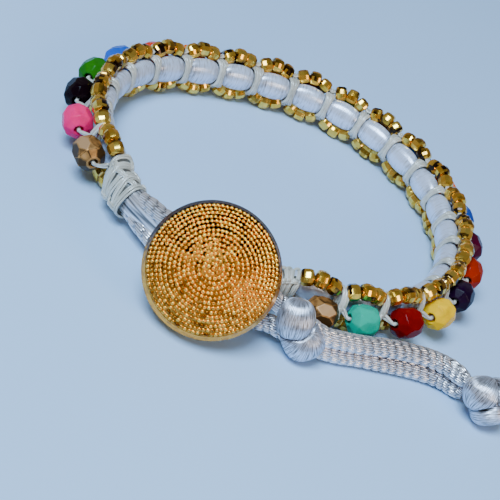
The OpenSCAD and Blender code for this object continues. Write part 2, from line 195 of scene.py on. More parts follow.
class BraceletColours(bpy.types.PropertyGroup):
    """Colours of the bracelet's satin, thread, metal and glass"""

    satin: colour_prop("Satin", "Satin strands, cells and knots", "#f8f6fb")
    thread: colour_prop("Thread", "Knotting thread", "#c4beb0")
    seed: colour_prop("Seed beads", "Gold of the seed beads", "#f4b434")
    button: colour_prop("Button", "Gold of the button", "#ffb648")
    floor: colour_prop("Floor", "Plain floor", "#b6d8ff")


for glass, code in GLASS.items():
    BraceletColours.__annotations__[glass] = colour_prop(
        glass.capitalize() + " glass", f"Beads of {glass} glass", code)


def lookup(rows, x):
    """Value at x of a table of places and values, straight between its rows."""
    if x <= rows[0][0]:
        return rows[0][1]
    for (x0, y0), (x1, y1) in zip(rows, rows[1:]):
        if x <= x1:
            return y0 + (y1 - y0) * (x - x0) / (x1 - x0)
    return rows[-1][1]


def line_heading(s):
    """Heading of the band's line at s cells from the sleeve's mouth, in radians."""
    turned = 0
    for length, turn in LINE_BENDS:
        turned += min(max(s, 0), length) * turn
        s -= length
    return radians(LINE_HEADING - turned)


def line_trail():
    """Points of the band's line in plan, LINE_STEP cells apart, in millimetres."""
    trail = [LINE_START.copy()]
    for k in range(TRAIL_STEPS):
        way = line_heading((k + 0.5) * LINE_STEP)
        trail.append(trail[-1] + Vector((cos(way), sin(way))) * LINE_STEP * PITCH)
    return trail


TRAIL = line_trail()


def lean(u):
    """How far the band leans back at u cells from its left end, in degrees."""
    back = (u - CELLS / 2 + 0.5) / (CELLS / 2)
    return max(LEAN_BACK - (LEAN_BACK - LEAN_ENDS) * back ** 2, LEAN_ENDS - 2)


def button_matrix():
    """The button's own axes and place: X through the shank's eye, Z out of its face."""
    turn = Matrix.Rotation(radians(BUTTON_TURN), 4, "Z")
    tilt = Matrix.Rotation(radians(90 - BUTTON_TILT), 4, "X")
    return Matrix.Translation(BUTTON_AT * MM) @ turn @ tilt


EYE_Z = (button_matrix() @ Vector((0, 0, -SHANK * MM))).z / MM


def band_axes(u):
    """Unit vectors of the band at u cells from its left end: along it, outwards and up its height."""
    way = line_heading(u - MOUTH)
    a = radians(lean(u) + (MOUTH_TWIST * u / -MOUTH if u < 0 else 0))
    along = Vector((cos(way), sin(way), 0))
    out, rise = Vector((-sin(way), cos(way), 0)), Vector((0, 0, 1))
    return along, out * cos(a) - rise * sin(a), out * sin(a) + rise * cos(a)


def middle_height(u):
    """Height of the band's middle over the floor. It rises or falls to the strands and the shank's eye."""
    band = EDGE_RADIUS + cos(radians(lean(u))) * EDGE_GAP / 2
    if u < 0:
        return band + (MOUTH_Z - band) * (u / MOUTH) ** 2
    return band + (EYE_Z - band) * min(max(u - CELLS, 0) / SHANK_CELLS, 1)


def spot(u, out=0, up=0):
    """A point at u cells along the band, and out and up in millimetres from its middle, in metres."""
    k = (u - MOUTH) / LINE_STEP
    first = min(max(int(k), 0), len(TRAIL) - 2)
    plan = TRAIL[first].lerp(TRAIL[first + 1], k - first)
    _, out_way, up_way = band_axes(u)
    return (Vector((plan.x, plan.y, middle_height(u))) + out_way * out + up_way * up) * MM


def smooth_path(points, step, loop=False):
    """Evenly spaced points on a smooth curve through the given ones."""
    points = [Vector(p) for p in points]
    count, fine = len(points), []
    for k in range(count if loop else count - 1):
        if loop:
            a, b, c, d = (points[(k + n) % count] for n in (-1, 0, 1, 2))
        else:
            a, b, c, d = (points[min(max(k + n, 0), count - 1)] for n in (-1, 0, 1, 2))
        for n in range(CURVE_STEPS):
            t = n / CURVE_STEPS
            fine.append(((b * 2) + (c - a) * t + (a * 2 - b * 5 + c * 4 - d) * t ** 2
                         + (b * 3 - a - c * 3 + d) * t ** 3) / 2)
    fine.append(points[0] if loop else points[-1])
    lengths = [0]
    for a, b in zip(fine, fine[1:]):
        lengths.append(lengths[-1] + (b - a).length)
    parts = max(round(lengths[-1] / step), 3)
    result, k = [], 0
    for n in range(parts + (0 if loop else 1)):
        at = lengths[-1] * n / parts
        while k < len(fine) - 2 and lengths[k + 1] < at:
            k += 1
        result.append(fine[k].lerp(fine[k + 1], (at - lengths[k]) / max(lengths[k + 1] - lengths[k], 1e-9)))
    return result


def path_axes(points, loop=False):
    """Unit vectors across a path at each of its points, turning round it as little as they can."""
    count = len(points)
    ways = []
    for k in range(count):
        ahead = points[(k + 1) % count] if loop else points[min(k + 1, count - 1)]
        behind = points[k - 1] if loop else points[max(k - 1, 0)]
        ways.append((ahead - behind).normalized())
    side = Vector((0, 0, 1)).cross(ways[0])
    sides = []
    for way in ways:
        side = (side - way * side.dot(way)).normalized()
        sides.append(side)
    if loop:
        back = (sides[-1] - ways[0] * sides[-1].dot(ways[0])).normalized()
        left_over = atan2(back.cross(sides[0]).dot(ways[0]), back.dot(sides[0]))
        sides = [Matrix.Rotation(left_over * k / count, 3, ways[k]) @ sides[k] for k in range(count)]
    return [(side, way.cross(side)) for way, side in zip(ways, sides)]


class Skin:
    """Gathers swept surfaces in one mesh, with a UV map (round, along) and a tone at each point."""

    def __init__(self, rings=()):
        self.points, self.faces, self.places, self.tones = [], [], [], []
        if rings:
            self.add(rings)

    def add(self, rings, loop=False):
        """One surface through its rings, closed at both ends by a face, or into a loop. A ring is its
        length along the surface and its points, each with a tone."""
        first, sides, count = len(self.points), len(rings[0][1]), len(rings)
        for _, ring in rings:
            for point, tone in ring:
                self.points.append(point)
                self.tones.append(tone)
        for k in range(count if loop else count - 1):
            here, there = first + k * sides, first + (k + 1) % count * sides
            v0 = rings[k][0]
            v1 = rings[k + 1][0] if k + 1 < count else v0 + THREAD_STEP
            for j in range(sides):
                n = (j + 1) % sides
                self.faces.append((here + j, here + n, there + n, there + j))
                self.places.extend((j / sides, v0, (j + 1) / sides, v0, (j + 1) / sides, v1, j / sides, v1))
        if not loop:
            last = first + (count - 1) * sides
            self.faces.append(tuple(first + j for j in reversed(range(sides))))
            self.faces.append(tuple(last + j for j in range(sides)))
            self.places.extend((0.5, 0) * 2 * sides)

    def thread(self, route, width, loop=False, flat=1.0):
        """A plied thread along a route, flattened by a share. Each has its own tone and turn of its plies."""
        path = smooth_path(route, THREAD_STEP, loop)
        tone, turn = random.random(), random.random() * tau
        rings, length = [], 0
        for k, (point, (side, top)) in enumerate(zip(path, path_axes(path, loop))):
            length += (point - path[k - 1]).length if k else 0
            ring = []
            for j in range(THREAD_SIDES):
                a = tau * j / THREAD_SIDES
                ply = cos(PLIES * (a - turn - tau * length / PLY_LAY / PLIES))
                r = width / 2 * (1 - PLY_DEPTH + PLY_DEPTH * ply)
                ring.append((point + side * (r * cos(a)) + top * (r * flat * sin(a)), tone))
            rings.append((length, ring))
        self.add(rings, loop)

    def make(self, name, finish, slot, *nodes):
        """The piece with all surfaces gathered so far, dressed."""
        mesh = bpy.data.meshes.new(name)
        mesh.from_pydata(self.points, [], self.faces)
        mesh.uv_layers.new(name="UVMap").data.foreach_set("uv", self.places)
        marked(mesh, "tone", "POINT", self.tones)
        mesh.shade_smooth()
        mesh.update()
        return dressed(placed(name, mesh), finish, slot, *nodes)


def marked(mesh, name, domain, values):
    """Gives each point or face of a mesh a value that its finish reads."""
    mesh.attributes.new(name, "FLOAT", domain).data.foreach_set("value", values)


def placed(name, data):
    """A new object in the scene, at the origin."""
    made = bpy.data.objects.new(name, data)
    bpy.context.scene.collection.objects.link(made)
    return made


def dressed(piece, finish, slot, *nodes):
    """Gives a piece its finish and hides the nodes that it stands for. The slot is not used."""
    piece.data.materials.clear()
    piece.data.materials.append(finish)
    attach(piece, "root")
    if nodes:
        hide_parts(*nodes)
    return piece


def new_finish(name, **sockets):
    """A material with plain values on its Principled shader: its node tree and that shader."""
    material = bpy.data.materials.new(name)
    material.use_nodes = True
    shader = material.node_tree.nodes["Principled BSDF"]
    for socket, value in sockets.items():
        value = (*value, 1) if isinstance(value, tuple) and len(value) == 3 else value
        shader.inputs[socket.replace("_", " ")].default_value = value
    return material, material.node_tree, shader


def node(tree, kind, inputs=(), **settings):
    """A shader node with its settings, and its inputs given as values or as sockets to link from."""
    made = tree.nodes.new(kind)
    for key, value in settings.items():
        setattr(made, key, value)
    for key, value in dict(inputs).items():
        if isinstance(value, bpy.types.NodeSocket):
            tree.links.new(value, made.inputs[key])
        else:
            made.inputs[key].default_value = value
    return made


def ramp(tree, source, stops):
    """A colour ramp over a value. Stops are places and colours."""
    made = node(tree, "ShaderNodeValToRGB", {"Fac": source})
    elements = made.color_ramp.elements
    while len(elements) < len(stops):
        elements.new(0.5)
    for element, (place, shade) in zip(elements, stops):
        element.position = place
        element.color = (*shade[:3], 1)
    return made.outputs["Color"]


def shade(tint, share):
    """A colour made darker or lighter by a share."""
    return tuple(min(c * share, 1) for c in tint[:3])


def blended(a, b, share):
    return tuple(x * (1 - share) + y * share for x, y in zip(a[:3], b[:3]))


def painted(tree, shader, source, stops):
    """Colours a shader by a ramp over a value."""
    tree.links.new(ramp(tree, source, stops), shader.inputs["Base Color"])


def marked_value(tree, name="tone"):
    return node(tree, "ShaderNodeAttribute", attribute_name=name).outputs["Fac"]


def mixed_in(tree, base, extra, share, middle=0.0):
    """A value with a share of another one added, which counts from its middle."""
    swing = node(tree, "ShaderNodeMath", {0: extra, 1: middle}, operation="SUBTRACT").outputs[0]
    return node(tree, "ShaderNodeMath", {0: swing, 1: share, 2: base}, operation="MULTIPLY_ADD").outputs[0]


def even_noise(tree, scale, detail, roughness=0.5):
    """Noise that is as fine every way, over the piece's own place."""
    place = node(tree, "ShaderNodeTexCoord").outputs["Object"]
    return node(tree, "ShaderNodeTexNoise", {
        "Vector": place, "Scale": scale, "Detail": detail, "Roughness": roughness}).outputs["Fac"]


def stretched_noise(tree, scale_round, scale_along):
    """Noise drawn out along a swept surface, from its UV map."""
    place = node(tree, "ShaderNodeTexCoord").outputs["UV"]
    drawn = node(tree, "ShaderNodeMapping", {"Vector": place, "Scale": (scale_round, scale_along, 1)})
    grain = node(tree, "ShaderNodeTexNoise", {"Vector": drawn.outputs["Vector"], "Scale": 1, "Detail": 4})
    return grain.outputs["Fac"]


def bumped(tree, shader, height, strength, distance):
    raised = node(tree, "ShaderNodeBump", {"Height": height, "Strength": strength, "Distance": distance})
    tree.links.new(raised.outputs["Normal"], shader.inputs["Normal"])


def satin_finish(name, tint, scales, rough, drawn, metallic, grained, relief=0.4, turn=0.0):
    """White satin: bright floats over grooves with painted shade, its gloss drawn out across the filaments."""
    material, tree, shader = new_finish(
        name, Metallic=metallic, Roughness=rough, Specular_IOR_Level=0.8, Anisotropic=drawn,
        Anisotropic_Rotation=turn, Coat_Weight=0.06, Coat_Roughness=0.35, Sheen_Weight=0.1, Sheen_Roughness=0.4)
    tangent = node(tree, "ShaderNodeTangent", direction_type="UV_MAP", uv_map="UVMap")
    tree.links.new(tangent.outputs["Tangent"], shader.inputs["Tangent"])
    filaments = stretched_noise(tree, *scales)
    # Low tones are painted shade in the grooves, seams and folds of each piece.
    painted(tree, shader, mixed_in(tree, marked_value(tree), filaments, grained, 0.5), (
        (0.0, colour("#2e2a2c")), (0.3, colour("#726e6e")),
        (0.55, blended(colour("#b4b1b6"), tint, 0.3)), (0.8, tint)))
    bumped(tree, shader, filaments, relief, 0.05 * MM)
    return material


def thread_finish(tint):
    """Cream waxed thread: fibres along it, a little darker from one thread to the next."""
    material, tree, shader = new_finish(
        "waxed_thread", Roughness=0.3, Specular_IOR_Level=0.8, Coat_Weight=0.7, Coat_Roughness=0.14,
        Sheen_Weight=0.1)
    fibres = stretched_noise(tree, 9, 1100)
    # The ramp's darkest stops are reached by the sleeves' painted shade sheet; the threads themselves vary at
    # random.
    painted(tree, shader, mixed_in(tree, fibres, marked_value(tree), 0.4), (
        (0.0, shade(tint, 0.1)), (0.3, shade(tint, 0.55)), (0.65, tint),
        (0.95, blended(tint, (1, 1, 1), 0.3))))
    bumped(tree, shader, fibres, 0.35, 0.04 * MM)
    return material


def gold_finish(name, tint, grime_and_shade, rough, scale, varied=0.5, coat=0.0, metallic=1.0):
    """Gold with a tone for each bead, which also carries painted shade, light and reflections; the colour of
    grime and painted shade where it is darkest, a painted highlight colour where it is lightest, and fine wear.
    """
    material, tree, shader = new_finish(
        name, Metallic=metallic, Coat_Weight=coat, Coat_Roughness=0.06, Specular_IOR_Level=0.5)
    wear, grime_and_shade = even_noise(tree, scale, 5, 0.6), colour(grime_and_shade)
    # The marked tone paints shade, light and reflections: its darkest stops stand for grime and painted shade,
    # its lightest for a painted highlight.
    painted(tree, shader, mixed_in(tree, wear, marked_value(tree), varied), (
        (0.36, grime_and_shade), (0.48, blended(grime_and_shade, tint, 0.45)), (0.66, tint),
        (0.95, blended(tint, colour("#ffe070"), 0.5))))
    rough_range = node(tree, "ShaderNodeMapRange", {
        "Value": wear, "From Min": 0.3, "From Max": 0.8, "To Min": rough, "To Max": rough + 0.14})
    tree.links.new(rough_range.outputs["Result"], shader.inputs["Roughness"])
    bumped(tree, shader, wear, 0.12, 0.03 * MM)
    return material


def glass_finish(name, tint, depth=0.0, metallic=0.0, rough=0.2, facets=0.1, dark=0.75, gloss=0.07):
    """Pressed glass with soft facets: clouded a little inside, with tiny pits in its polish. Its facets carry
    painted light and shade by the way they face, and a painted highlight.
    """
    material, tree, shader = new_finish(
        name, Metallic=metallic, Roughness=rough, Specular_IOR_Level=gloss,
        Subsurface_Weight=depth, Subsurface_Scale=1.2 * MM)
    shader.inputs["Subsurface Radius"].default_value = [0.3 + 0.7 * c for c in tint[:3]]
    cloud = even_noise(tree, 520, 4, 0.55)
    # The facet tone is painted light and shade by the way each facet faces; the top stop blends towards a painted
    # highlight colour.
    painted(tree, shader, mixed_in(tree, cloud, marked_value(tree, "facet"), facets, 0.5), (
        (0.3, shade(tint, dark)), (0.52, tint), (0.75, blended(tint, (1, 0.9, 0.75), 0.15 * facets))))
    bumped(tree, shader, even_noise(tree, 3600, 2), 0.06, 0.04 * MM)
    return material


def deselect():
    if bpy.context.object and bpy.context.object.mode != "OBJECT":
        bpy.ops.object.mode_set(mode="OBJECT")
    bpy.ops.object.select_all(action="DESELECT")


def begin(add, **settings):
    """Adds a primitive with nothing else selected, and opens it for editing with all of it selected."""
    deselect()
    add(**settings)
    bpy.ops.object.transform_apply(location=True, rotation=True, scale=True)
    bpy.ops.object.mode_set(mode="EDIT")
    bpy.ops.mesh.select_all(action="SELECT")


def extrude(rise):
    bpy.ops.mesh.extrude_region_move(TRANSFORM_OT_translate={"value": (0, 0, rise)})


def widen(share, z=0):
    """Scales what is selected away from the Z axis, at its height."""
    bpy.ops.transform.resize(value=(share, share, 1), center_override=(0, 0, z))


def pick(what, test):
    """In edit mode, selects the faces or edges that pass a test, and nothing else."""
    bpy.ops.mesh.select_all(action="DESELECT")
    bpy.ops.mesh.select_mode(type={"faces": "FACE", "edges": "EDGE"}[what])
    mesh = bmesh.from_edit_mesh(bpy.context.object.data)
    for part in getattr(mesh, what):
        if test(part):
            part.select_set(True)
    mesh.select_flush_mode()
    bmesh.update_edit_mesh(bpy.context.object.data)


def done(name, smooth_angle=None):
    """Leaves edit mode, sets the piece down at the origin and shades it."""
    bpy.ops.object.mode_set(mode="OBJECT")
    piece = bpy.context.object
    piece.name = piece.data.name = name
    bpy.ops.object.transform_apply(location=True, rotation=True, scale=True)
    if smooth_angle is None:
        bpy.ops.object.shade_smooth()
    else:
        bpy.ops.object.shade_smooth_by_angle(angle=radians(smooth_angle))
    return piece


def bevel(piece, width, segments, sharp, smooth):
    """Rounds a piece's edges that are sharper than some degrees, and shades it by a second angle."""
    bpy.context.view_layer.objects.active = piece
    piece.select_set(True)
    made = piece.modifiers.new("shaping", "BEVEL")
    made.width, made.segments, made.limit_method, made.angle_limit = width, segments, "ANGLE", radians(sharp)
    bpy.ops.object.modifier_apply(modifier=made.name)
    bpy.ops.object.shade_smooth_by_angle(angle=radians(smooth))
    return piece


def set_out(pattern, name, matrices, tones, reflection_patches=0):
    """Copies one modelled shape to each place, in one mesh, with a tone for each copy. With reflection patches
    the tone changes from face to face round the copy's axis and above its middle, as painted reflections."""
    mesh = bmesh.new()
    layers = mesh.faces.layers if reflection_patches else mesh.verts.layers
    tone = layers.float.new("tone")
    # Painted reflections: a swing of tone for each face, by its turn round the axis and its side of the middle.
    steps = (0.5, -0.35, 0.15, -0.5, 0.4, 0.05, -0.45, 0.2)
    painted_reflections = [
        reflection_patches * steps[(int(atan2(part.center.y, part.center.x) * 2.5 / pi // 1)
                         + (3 if part.center.z > 0.1 * MM else 0)) % 8] for part in pattern.data.polygons]
    for matrix, value in zip(matrices, tones):
        first_vert, first_face = len(mesh.verts), len(mesh.faces)
        mesh.from_mesh(pattern.data)
        mesh.verts.ensure_lookup_table()
        mesh.faces.ensure_lookup_table()
        fresh = mesh.verts[first_vert:]
        bmesh.ops.transform(mesh, matrix=matrix, verts=fresh)
        if reflection_patches:
            for face, swing in zip(mesh.faces[first_face:], painted_reflections):
                face[tone] = value + swing
        else:
            for vert in fresh:
                vert[tone] = value
    data = bpy.data.meshes.new(name)
    mesh.to_mesh(data)
    mesh.free()
    return placed(name, data)


def put_away(pattern):
    bpy.data.meshes.remove(pattern.data)


def axes_matrix(x, y, z, at):
    """The place of something with these axes at a point."""
    made = Matrix((x, y, z)).transposed().to_4x4()
    made.translation = at
    return made


def braid_height(column, row, slant):
    """Height of the braid's floats at a place counted in columns and rows, and which float it is."""
    c = int(column // 1)
    across = column - c - 0.5
    along = row - 0.1 * c - 0.16 * (c % 2) + slant * across
    r = int(along // 1)
    down = along - r - 0.5
    return cos(pi * across) ** 0.7 * (1 - abs(2 * down) ** 2.4), (c, r)


def float_tone(which, columns, seed):
    """The tone of one float, from 0 to 1, the same each time it is asked for."""
    return random.Random(f"{seed}.{which[0] % columns}.{which[1]}").random()


def braided_strand(name, route, node_name, seed, finish):
    """One strand of the loop, swept with its floats."""
    sizes = bpy.context.scene.bracelet_sizes
    columns, points_across, points_along, relief = sizes.float_columns, 5, 8, 0.13
    sides = columns * points_across
    tuck, squeeze = 0.9 * MM, ((0, 0.8), (3.4, 1))
    row_rate = ((5, 0.72), (9, 1))
    # Painted light: tone added at places along the strand, in millimetres from its start.
    painted_light_along = ((3, 0.12), (9, 0.1), (13, 0.03), (24, 0.03), (26, 0.2), (32, 0.15), (37, 0.03))
    route = [Vector(p) * MM for p in route]
    route.insert(0, route[0] + (route[0] - route[1]).normalized() * tuck)
    route.append(route[-1] + (route[-1] - route[-2]).normalized() * tuck)
    path = smooth_path(route, sizes.float_length / points_along)
    rings, length, row = [], 0, 0
    for k, (point, (side, top)) in enumerate(zip(path, path_axes(path))):
        length += (point - path[k - 1]).length if k else 0
        along = length / MM
        row += 1 / points_along * lookup(row_rate, along)
        left = (len(path) - 1 - k) / points_along * sizes.float_length / MM
        half = sizes.strand / 2 * lookup(squeeze, along) * min(0.45 + 0.5 * left ** 0.5, 1)
        half *= 1 + 0.02 * noise.noise(Vector((along * 0.5, seed, 0)))
        pale, ring = lookup(painted_light_along, along), []
        for j in range(sides):
            a = tau * j / sides
            drift = 0.35 * noise.noise(Vector((along * 0.35, 3 * cos(a), seed)))
            height, which = braid_height(j / points_across, row + drift, 0.12)
            r = half * (1 - relief + relief * height)
            # Painted shade darkens the gaps between floats; each float also has a random tone of its own.
            tone = (0.22 + 0.84 * height) * (0.68 + 0.4 * float_tone(which, columns, seed)) + pale
            ring.append((point + side * (r * cos(a)) + top * (r * sin(a)), tone))
        rings.append((length, ring))
    piece = Skin(rings).make(name, finish, "satin", node_name)


def route_point(route, t):
    """A point of a strand's route, counted in its given points. It runs on straight before the first."""
    first = min(max(int(t), 0), 3)
    return Vector(route[first]).lerp(Vector(route[first + 1]), t - first)


def strand_gather(finish):
    """The satin drawn together where both strands leave the sleeve's mouth."""
    rings, steps, sides = [], 16, 96
    start, reach, apart = -0.7, 3.4, 0.45 * MM
    spare_height = ((0, 1.0), (1, 0.75), (3, 0.3))
    thickness = ((0, 1.3), (1, 1.0), (2.7, 0.4))
    for k in range(steps):
        t = start + reach * k / (steps - 1)
        first = min(max(int(t), 0), 3)
        upper, lower = route_point(UPPER_ROUTE, t), route_point(LOWER_ROUTE, t)
        way = Vector(UPPER_ROUTE[first + 1]) - Vector(UPPER_ROUTE[first])
        high = (upper - lower) / 2
        high = high.normalized() * (high.length + lookup(spare_height, t))
        thick = way.cross(high).normalized() * lookup(thickness, t)
        ring = []
        for j in range(sides):
            c, s = cos(tau * j / sides), sin(tau * j / sides)
            fold = noise.noise(Vector((c * 7, s * 7, t * 0.4)))
            at = (upper + lower) / 2 + (high * s + thick * c) * (1 + 0.07 * fold)
            # Painted shade: the tone follows the folds and is darker in their hollows.
            ring.append((at * MM, 0.56 + 0.8 * fold))
        rings.append((k * apart, ring))
    Skin(rings).make("satin_gather", finish, "satin")


def turn_depth(halves, roll, offset):
    """How deep a place lies in a turn of a knot: below 1 inside it, 1 on its skin."""
    c, s = cos(radians(roll)), sin(radians(roll))
    own = (offset[0] * c + offset[1] * s, offset[1] * c - offset[0] * s, offset[2])
    return sum(abs(own[n] / halves[n]) ** 2.4 for n in range(3)) ** (1 / 2.4)


def satin_knot(name, at, turns, seed, finish, node_name):
    """A round knot of a satin strand: broad turns of floats, each tucked under the next."""
    skin, columns, points_across, rows, float_length = Skin(), 52, 4, 80, 0.85
    seam_width, seam_depth, relief = 0.14, 0.2, 0.012
    sides = columns * points_across
    pole_end = 1.54
    axes = Matrix((KNOT_ACROSS, KNOT_UP, KNOT_FRONT)).transposed()
    for number, (centre, halves, roll, pole) in enumerate(turns):
        centre, pole = Vector(centre), Vector(pole).normalized()
        others = turns[:number] + turns[number + 1:]
        aside = pole.orthogonal().normalized()
        beside = pole.cross(aside)
        mean = sum(halves) / 3
        rings = []
        for k in range(rows + 1):
            b, ring = max(min(pi * (k / rows - 0.5), pole_end), -pole_end), []
            for j in range(sides):
                a = tau * j / sides
                way = pole * sin(b) + (aside * cos(a) + beside * sin(a)) * cos(b)
                drift = noise.noise(Vector((cos(a) * 1.5, sin(a) * 1.5, b * 1.5 + seed + number)))
                raised, which = braid_height(
                    (j / points_across + drift) % columns, (b + 1.6) * mean / float_length + drift * 0.5, 0.1)
                place = centre + way * (1 / turn_depth(halves, roll, way))
                seam = 1
                for other_centre, other_halves, other_roll, _ in others:
                    clear = turn_depth(other_halves, other_roll, place - Vector(other_centre)) - 1
                    seam = min(seam, max(clear, 0) / seam_width)
                place -= way * (relief * (1 - raised) + seam_depth * (1 - seam) ** 2)
                # Painted shade: each turn darkens where it tucks under another turn, and a little between its
                # floats.
                seam_shade = 1 - 0.7 * (1 - seam ** 0.6) * min(max(0.75 + drift * 1.6, 0.2), 1)
                tone = (0.58 + 0.08 * raised) * seam_shade * (0.85 + 0.15 * float_tone(which, columns, seed))
                ring.append(((at + axes @ place) * MM, tone))
            rings.append(((b + 1.6) * mean * MM, ring))
        skin.add(rings)
    return skin.make(name, finish, "satin", node_name)


def core_section(u, puff):
    """One oval ring of the satin core with its tones, pulled in to its waist between two cells. The tones hold
    random streaks, painted shade towards the waists and painted light on the later cells.
    """
    sizes, sides = bpy.context.scene.bracelet_sizes, 48
    waist = 1 if u < 0 or u > CELLS else 0.84
    half_t = lookup(CORE_T, u) / 2 * waist
    half_h = lookup(CORE_H, u) / 2 * waist
    half_t += (sizes.cell_depth / MM / 2 - half_t) * puff
    half_h += (sizes.cell_height / MM / 2 - half_h) * puff
    out = lookup(CORE_OUT, u)
    # Painted light: the base tone rises along the band, most on the last cell, which lies in shade.
    base = lookup(((8, 0.7), (13, 0.8), (20.9, 0.78), (21.1, 1.0)), u)
    ring = []
    for j in reversed(range(sides)):
        c, s = cos(tau * j / sides), sin(tau * j / sides)
        wave = noise.noise(Vector((c * 1.3, s * 1.3, u * 26 + 5)))
        fine = noise.noise(Vector((c * 3, s * 3, u * 60)))
        swell = 0.99 + 0.006 * wave + 0.003 * fine
        # Painted shade: the tone falls towards each waist, to round the puffs.
        tone = min(max(base + 0.22 * wave + 0.2 * fine, 0.3), 1.1) * (0.66 + 0.4 * puff ** 2)
        ring.append((spot(u, out + half_t * swell * c, half_h * swell * s), tone))
    return (u - MOUTH) * PITCH * MM, ring


class BRACELET_OT_camera(bpy.types.Operator):
    """Sets up the camera at the photograph's viewing angle"""

    bl_idname = "bracelet.camera"
    bl_label = "Camera"

    def execute(self, context):
        camera = bpy.data.cameras.new("camera")
        camera.sensor_width = SENSOR
        camera.lens = LENS
        camera.clip_start = 10 * MM
        eye = placed("camera", camera)
        eye.matrix_world = axes_matrix(EYE_RIGHT, EYE_UP, EYE_BACK, EYE_AT * MM)
        context.scene.camera = eye
        return {"FINISHED"}


class BRACELET_OT_loop(bpy.types.Operator):
    """Makes the two braided satin strands of the loop and their two round knots"""

    bl_idname = "bracelet.loop"
    bl_label = "Loop strands and knots"

    def execute(self, context):
        tint = tuple(context.scene.bracelet_colours.satin)
        warm, cool = blended(tint, (1, 0.9, 0.86), 0.6), blended(tint, colour("#c4daff"), 0.5)
        braid = satin_finish(
            "satin_braid", warm, (150, 900), rough=0.2, drawn=0.5, metallic=0.72, grained=0.6, relief=0.3)
        smooth = satin_finish(
            "satin_knot", cool, (120, 800), rough=0.4, drawn=0.92, metallic=0.75, grained=2.3, relief=0.9)
        knots = [
            satin_knot("knot_beside_button", STOP_KNOT_AT, STOP_KNOT_TURNS, 3, smooth, "stop_knot"),
            satin_knot("knot_at_loop_end", END_KNOT_AT, END_KNOT_TURNS, 8, smooth, "end_knot"),
        ]
        braided_strand("braided_strand_upper", UPPER_ROUTE, "upper_strand", 11, braid)
        braided_strand("braided_strand_lower", LOWER_ROUTE, "lower_strand", 29, braid)
        strand_gather(satin_finish(
            "satin_gather", tint, (34, 160), rough=0.24, drawn=0.7, metallic=0.6, grained=0.9))
        return {"FINISHED"}


class BRACELET_OT_satin_cells(bpy.types.Operator):
    """Makes the satin core with its puffed cells, from the left sleeve to the shank's eye"""

    bl_idname = "bracelet.satin_cells"
    bl_label = "Satin cells"

    def execute(self, context):
        slices, half_cell, end_puff = 26, 0.42, 0.85
        places = [(-0.7 + 0.1 * n, 0) for n in range(8)]
        for i in range(CELLS):
            for n in range(slices):
                share = (n + 0.5) / slices
                puff = sqrt(max(1 - ((share - 0.5) / half_cell) ** 2, 0))
                places.append((i + share, max(puff, end_puff) if i == CELLS - 1 and share > 0.5 else puff))
        for past in (0, 0.1, 0.2, 0.35, 0.5, 0.7, 0.85, 1, 1.15, 1.3, 1.5, 1.65, 1.8, 1.95):
            places.append((CELLS + past, max(end_puff - 2 * past, 0)))
        tint = blended(tuple(context.scene.bracelet_colours.satin), colour("#cfe0ff"), 0.7)
        finish = satin_finish(
            "satin_cell", tint, (5, 9000), rough=0.28, drawn=0.6, metallic=0.38, grained=1.1, turn=0.25)
        Skin([core_section(u, puff) for u, puff in places]).make("satin_cells", finish, "satin", "satin_core")
        return {"FINISHED"}


def oval_spot(u, out, half_t, half_h, angle):
    """A point on a squared oval round the core, at an angle from its outer face."""
    c, s = cos(angle), sin(angle)
    return spot(u, out + half_t * copysign(abs(c) ** 0.8, c), half_h * copysign(abs(s) ** 0.8, s))


def wrap_route(u, grow, slant, fan):
    """A closed route round the core between two cells. Its upper side may be pushed along the band by
    slant, and its upper and lower sides both by fan, in millimetres."""
    route, points = [], 20
    for n in range(points):
        a = tau * n / points
        shift = slant * sin(a) + fan * sin(a) ** 2
        route.append(oval_spot(u + shift / PITCH, WRAP_OUT, WRAP_T + grow, WRAP_H + grow, a))
    return route


